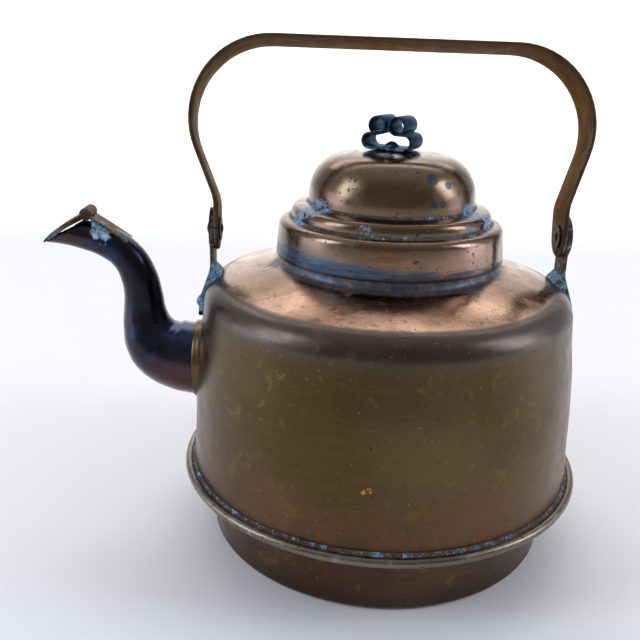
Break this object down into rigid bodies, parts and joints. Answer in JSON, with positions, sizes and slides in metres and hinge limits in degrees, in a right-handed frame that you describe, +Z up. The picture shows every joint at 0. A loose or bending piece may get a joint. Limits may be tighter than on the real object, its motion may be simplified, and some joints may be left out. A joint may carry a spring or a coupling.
{
  "type": "copper stove kettle",
  "caption": "Flanged copper stove kettle with a raised spout and hinged flap, a stepped dome lid with a curled strip knob, and a swinging strap handle.",
  "frame": {"origin": "middle of the flat bottom of the pan, on the surface it stands on", "axes": "+Z up through the lid's knob, -X towards the spout, +Y the side the handle leans to at rest"},
  "size_m": [0.2928, 0.22, 0.2654],
  "materials": {
    "body_copper": "satin, patinated copper with an olive-brown skin and fine pits",
    "lid_copper": "satin, patinated copper with verdigris in the corners",
    "pan_copper": "dark reddish brown fire skin",
    "flange_bronze": "grey-green patina with worn bright rim",
    "spout_copper": "near-black brown skin, glossy on the bends",
    "solder": "dull, crusted with pale blue verdigris",
    "ear_copper": "dark brown patina",
    "handle_brass": "brown satin, worn lighter along the edges",
    "hinge_brass": "grey-brown satin",
    "knob_copper": "dark blue-black patina",
    "iron": "rusty"
  },
  "bodies": {
    "kettle": {"bottom_pan": "pan_copper", "stove_flange": "flange_bronze", "foot_bead": "solder", "body_shell": "body_copper", "neck_collar": "body_copper", "neck_rim": "body_copper", "spout_collar": "body_copper", "spout": "spout_copper", "hinge_leaf": "hinge_brass", "leaf_solder": "solder", "hinge_pin": "iron", "ear_spout": "ear_copper", "ear_tail": "ear_copper", "ear_rivet_spout": "ear_copper", "ear_rivet_tail": "ear_copper", "ear_solder_spout": "solder", "ear_solder_tail": "solder", "pivot_rivet_spout": "ear_copper", "pivot_rivet_tail": "ear_copper", "pivot_washer_spout": "hinge_brass", "pivot_washer_tail": "hinge_brass"},
    "handle": {"handle": "handle_brass"},
    "lid": {"lid_band": "lid_copper", "lid_step": "lid_copper", "lid_dome": "lid_copper", "lid_solder_lower": "solder", "lid_solder_upper": "solder", "knob_scroll": "knob_copper", "knob_rivet": "knob_copper", "knob_washer": "knob_copper"},
    "flap": {"spout_flap": "hinge_brass"}
  },
  "joints": [
    {"name": "handle_swing", "type": "hinge", "parent": "kettle", "child": "handle", "pos_m": [0, 0, 0.1672], "axis": [1, 0, 0], "range_deg": [-87, 111]},
    {"name": "lid_lift", "type": "slide", "parent": "kettle", "child": "lid", "axis": [0, 0, 1], "range_m": [0, 0.026]},
    {"name": "flap_open", "type": "hinge", "parent": "kettle", "child": "flap", "pos_m": [-0.1584, 0, 0.1739], "axis": [0, 1, 0], "range_deg": [0, 110]}
  ]
}
